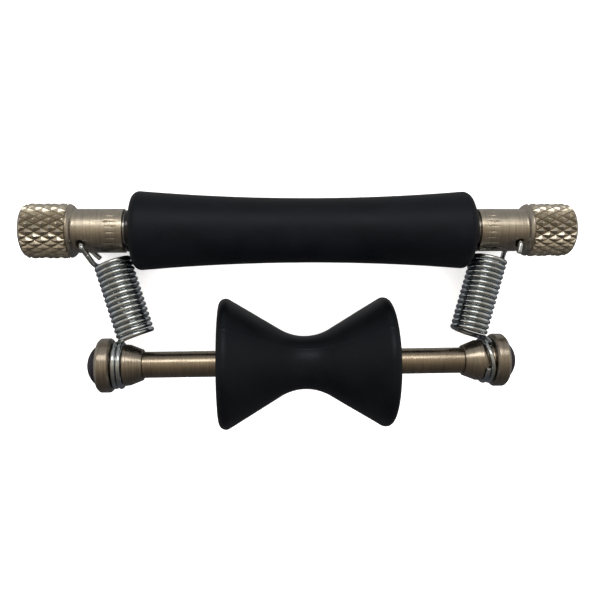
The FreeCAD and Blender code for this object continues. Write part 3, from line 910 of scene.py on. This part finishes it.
# %% Spools
SPOOL_IN = 32.12
SPOOL_OUT = 40.85
CONE_TIP_R = 3.05
SPOOL_LIP_R = 4.1
GROOVE_IN = 35.8
GROOVE_OUT = 38.0
GROOVE_R = 3.6
FLANGE_R = 5.37
FLANGE_IN_BEVEL = 0.45
FLANGE_OUT_BEVEL = 0.55
ROD_HOLE_R = 2.72
BUSH_HOLE_R = 3.25
BUSH_HOLE_IN = 33.92
spool_outline = [(SPOOL_IN, ROD_HOLE_R), (SPOOL_IN, CONE_TIP_R, 0.1)]
spool_outline += [(34.75, 4.08), (34.93, 3.94), (35.09, SPOOL_LIP_R)]
spool_outline += [(GROOVE_IN, SPOOL_LIP_R, 0.1), (GROOVE_IN, GROOVE_R, 0.1)]
spool_outline += [(GROOVE_OUT, GROOVE_R, 0.12), (GROOVE_OUT, FLANGE_R - FLANGE_IN_BEVEL, 0.05)]
spool_outline += [(GROOVE_OUT + FLANGE_IN_BEVEL, FLANGE_R, 0.12)]
spool_outline += [(SPOOL_OUT - FLANGE_OUT_BEVEL, FLANGE_R, 0.14)]
spool_outline += [(SPOOL_OUT, FLANGE_R - FLANGE_OUT_BEVEL, 0.1), (SPOOL_OUT, BUSH_HOLE_R, 0.1)]
spool_outline += [(BUSH_HOLE_IN, BUSH_HOLE_R), (BUSH_HOLE_IN, ROD_HOLE_R)]
for hand, side in SIDES.items():
    spool = finished(turned(spool_outline, LOWER, side, closed=True), "spool_body_" + hand,
                     spool_nickel, ["spool_" + hand])
    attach(spool, "spool_pair")

# %% [markdown]
# ## The springs
# A spring is coiled by feeding wire and turning it. Spin does the same when it is given a step
# along its axis: a ring of wire goes round once for each turn of the coil. The hook is made the
# way a bending machine makes it, by straight pushes and short turns. The wire is made as four
# pieces: the hook, which rides on its knob, the two halves of the lead, and the coil.

# %% The wire bender
WIRE_R = 0.505
COIL_MEAN_R = 3.285
COIL_PITCH = 1.065
COIL_TURNS = 15
COIL_TOP = (38.426, 5.958)
LEAN = math.radians(17.6)
LOOP_R = 4.225
LOOP_OUT = 37.427
LOOP_PITCH = 1.05
WIRE_FACETS = 14
WIRE_END_ROUND = 0.16
BEND_STEPS = 8


def start_wire(work, spot, aim):
    """A ring of wire points, square to the way that it will go."""
    made = bmesh.ops.create_circle(work, cap_ends=False, segments=WIRE_FACETS,
                                   radius=WIRE_R * MM)
    ring = made["verts"]
    face_on = Vector((0, 0, 1)).rotation_difference(aim).to_matrix().to_4x4()
    bmesh.ops.transform(work, matrix=Matrix.Translation(spot) @ face_on, verts=ring)
    return ring + list({edge for vert in ring for edge in vert.link_edges})


def push(work, ring, travel, steps):
    """Feeds the wire straight on, by a spin with no angle."""
    made = bmesh.ops.spin(work, geom=ring, cent=(0, 0, 0), axis=ALONG, angle=0, steps=steps,
                          dvec=travel / steps)
    return made["geom_last"]


def bend(work, ring, centre, axis, angle, steps, travel=Vector((0, 0, 0))):
    """Turns the wire about an axis, and feeds it along by a travel if there is one."""
    made = bmesh.ops.spin(work, geom=ring, cent=centre, axis=axis, angle=angle, steps=steps,
                          dvec=travel / steps)
    return made["geom_last"]


def follow(work, ring, corners, radii, fine=3):
    """Pushes and bends the wire through corners, each with its own bend radius."""
    here = corners[0]
    for corner, after, radius in zip(corners[1:-1], corners[2:], radii):
        back = (here - corner).normalized()
        ahead = (after - corner).normalized()
        angle = math.pi - back.angle(ahead)
        reach = radius * math.tan(angle / 2)
        ring = push(work, ring, corner + back * reach - here, fine)
        centre = corner + (back + ahead).normalized() * radius / math.cos(angle / 2)
        ring = bend(work, ring, centre, ahead.cross(back), angle, BEND_STEPS)
        here = corner + ahead * reach
    return push(work, ring, corners[-1] - here, fine)


def capped(work, rounded=False):
    """Closes the two open ends of a wire, and eases them where they show."""
    rims = [edge for edge in work.edges if edge.is_boundary]
    caps = bmesh.ops.holes_fill(work, edges=rims, sides=0)["faces"]
    if rounded:
        ends = [edge for cap in caps for edge in cap.edges]
        bmesh.ops.bevel(work, geom=ends, offset=WIRE_END_ROUND * MM, offset_type="OFFSET",
                        segments=3, profile=0.5, affect="EDGES", material=-1)
    bmesh.ops.recalc_face_normals(work, faces=work.faces)
    return work


print("coil", COIL_TURNS, "turns of", 2 * WIRE_R, "mm wire")

# %% [markdown]
# Each spring is drawn in its own axes: out along the axle, towards the lower rod, and towards the
# side that its lead comes from. The right spring is the left one turned half round, so both coils
# are wound the same way. The coil leans, and its first turn starts where the lead comes down. The
# tails past the holes differ, as hand-bent wire does.


# %% Where the wire goes
HOLE_MOUTH = 3.09
HOOK_RISE = 1.6
HOOK_DROP = 0.7
HOOK_REACH = 1.0
LEAD_FOOT = 1.7
LEAD_SPLIT = 0.55
TAILS = {"right": ((-0.24, 0.97, -0.05), 2.3), "left": ((-0.73, 0.68, -0.05), 3.0)}


class Route:
    """The places and directions that the wire of one spring goes through."""

    def __init__(self, hand, side):
        self.side = side
        self.down_coil = self.heading(-math.sin(LEAN), math.cos(LEAN))
        top_u, top_v = COIL_TOP
        self.coil_top = self.place(top_u, top_v)
        self.coil_start = self.place(top_u + COIL_MEAN_R * math.cos(LEAN),
                                     top_v + COIL_MEAN_R * math.sin(LEAN))
        slope = COIL_PITCH / (2 * math.pi * COIL_MEAN_R)
        self.first_way = (self.down_coil * slope - self.heading(0, 0, 1)).normalized()
        self.lead_foot = self.coil_start - self.first_way * LEAD_FOOT * MM
        self.hook_top = self.place(HOLE_X, HOLE_V, HOLE_MOUTH + HOOK_RISE)
        self.hook_back = self.place(HOLE_X, HOLE_V, -HOLE_MOUTH - HOOK_DROP)
        tail_aim, tail_length = TAILS[hand]
        self.tail_way = self.heading(*tail_aim)
        self.tail_end = self.hook_back + self.tail_way * tail_length * MM
        self.lead_way = (self.lead_foot - self.hook_top).normalized()
        self.lead_start = self.hook_top + self.lead_way * HOOK_REACH * MM
        self.lead_middle = self.hook_top.lerp(self.lead_foot, LEAD_SPLIT)

    def sum(self, u, v, w):
        """A distance out, one down to the rod and one to the lead's side, as one vector."""
        return ALONG * self.side * u + TO_LOWER * v + PLANE_UP * -self.side * w

    def place(self, u, v, w=0.0):
        """A place, by its distances in millimetres from the middle of the axle."""
        return UPPER + self.sum(u, v, w) * MM

    def heading(self, u, v, w=0.0):
        """A direction of length one."""
        return self.sum(u, v, w).normalized()


routes = {hand: Route(hand, side) for hand, side in SIDES.items()}
print("coil starts", {hand: [round(x / MM, 1) for x in route.coil_start]
                      for hand, route in routes.items()})

# %% [markdown]
# ## Hook and lead
# The hook goes through the knob's cross hole and turns with the knob. The lead down to the coil is
# made in two halves.


# %% Hook and lead
HOOK_BENDS = (0.6, 1.0)
LEAD_BEND = 1.0


def make_hook(hand, route):
    """The tail, the pass through the hole and the start of the lead."""
    work = bmesh.new()
    ring = start_wire(work, route.tail_end, -route.tail_way)
    corners = [route.tail_end, route.hook_back, route.hook_top, route.lead_start]
    follow(work, ring, corners, [radius * MM for radius in HOOK_BENDS])
    hook = finished(capped(work, rounded=True), "spring_hook_" + hand, spring_zinc,
                    even=False)
    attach(hook, hand + "_knob")


def make_leads(hand, route):
    """Both halves of the lead."""
    work = bmesh.new()
    ring = start_wire(work, route.lead_start, route.lead_way)
    push(work, ring, route.lead_middle - route.lead_start, 24)
    upper = finished(capped(work), "spring_lead_upper_" + hand, spring_zinc,
                     even=False)
    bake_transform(upper)

    work = bmesh.new()
    ring = start_wire(work, route.lead_middle, route.lead_way)
    corners = [route.lead_middle, route.lead_foot, route.coil_start]
    follow(work, ring, corners, [LEAD_BEND * MM], fine=10)
    lower = finished(capped(work), "spring_lead_lower_" + hand, spring_zinc,
                     even=False)
    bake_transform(lower)


print("hook bends", HOOK_BENDS, "mm")

# %% [markdown]
# ## Coil and loops
# The coil is one long spin. A short link runs from its last turn to the spot where the wire first
# touches the spool's groove. Two flat loops lie there side by side, with a crossover between them.
# All of it is one wire.


# %% Coil and loops
COIL_STEPS = 36
LINK_STRAIGHT = 1.0
LINK_END = 0.5
LINK_BEND = 0.8
LOOP_STEPS = 40
LOOPS = ((0.8, 0), (0.2, LOOP_PITCH), (0.8, 0))


def link_corners(route, coil_end):
    """The corners of the link from the coil's end to the groove, which it meets at a tangent."""
    axle_gap = (LOWER - UPPER).length / MM
    link_top = coil_end + route.first_way * LINK_STRAIGHT * MM
    link_v = (link_top - UPPER).dot(TO_LOWER) / MM - axle_gap
    link_w = -(link_top - UPPER).dot(PLANE_UP) * route.side / MM
    angle = math.atan2(-link_w, -link_v) + math.acos(LOOP_R / math.hypot(link_v, link_w))
    touch = route.place(LOOP_OUT, axle_gap - LOOP_R * math.cos(angle), -LOOP_R * math.sin(angle))
    touch_way = route.heading(0, math.sin(angle), -math.cos(angle))
    return [coil_end, link_top, touch - touch_way * LINK_END * MM, touch]


def make_coil(hand, route):
    """The coil, its link and the loops."""
    work = bmesh.new()
    ring = start_wire(work, route.coil_start, route.first_way)
    travel = route.down_coil * (COIL_PITCH * COIL_TURNS) * MM
    ring = bend(work, ring, route.coil_top, route.down_coil, 2 * math.pi * COIL_TURNS,
                COIL_STEPS * COIL_TURNS, travel)
    corners = link_corners(route, route.coil_start + travel)
    ring = follow(work, ring, corners, [LINK_BEND * MM, LINK_BEND * MM], fine=4)
    rod_way = route.heading(-1, 0)
    for share, shift in LOOPS:
        ring = bend(work, ring, LOWER, rod_way, 2 * math.pi * share, round(LOOP_STEPS * share),
                    rod_way * shift * MM)
    coil = finished(capped(work, rounded=True), "spring_coil_" + hand, spring_zinc,
                    ["spring_" + hand], even=False)
    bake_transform(coil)


for hand, route in routes.items():
    make_hook(hand, route)
    make_leads(hand, route)
    make_coil(hand, route)

# %% [markdown]
# ## CAD parts that stay
# The axle, core, liners, washers and bearing bushes have the right shape already and barely show,
# so they only get their finishes.

# %% Finishes for the CAD nodes
kept = {"upper_axle": ground_steel, "string_roller_core": drawn_aluminium}
for hand in SIDES:
    kept["thrust_washer_" + hand] = ground_steel
    kept["knob_liner_" + hand] = liner_nylon
    kept["spool_bush_" + hand] = oiled_bronze
for name, material in kept.items():
    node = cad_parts[name]
    node.data.materials.clear()
    node.data.materials.append(material)
print("kept CAD nodes", len(kept))
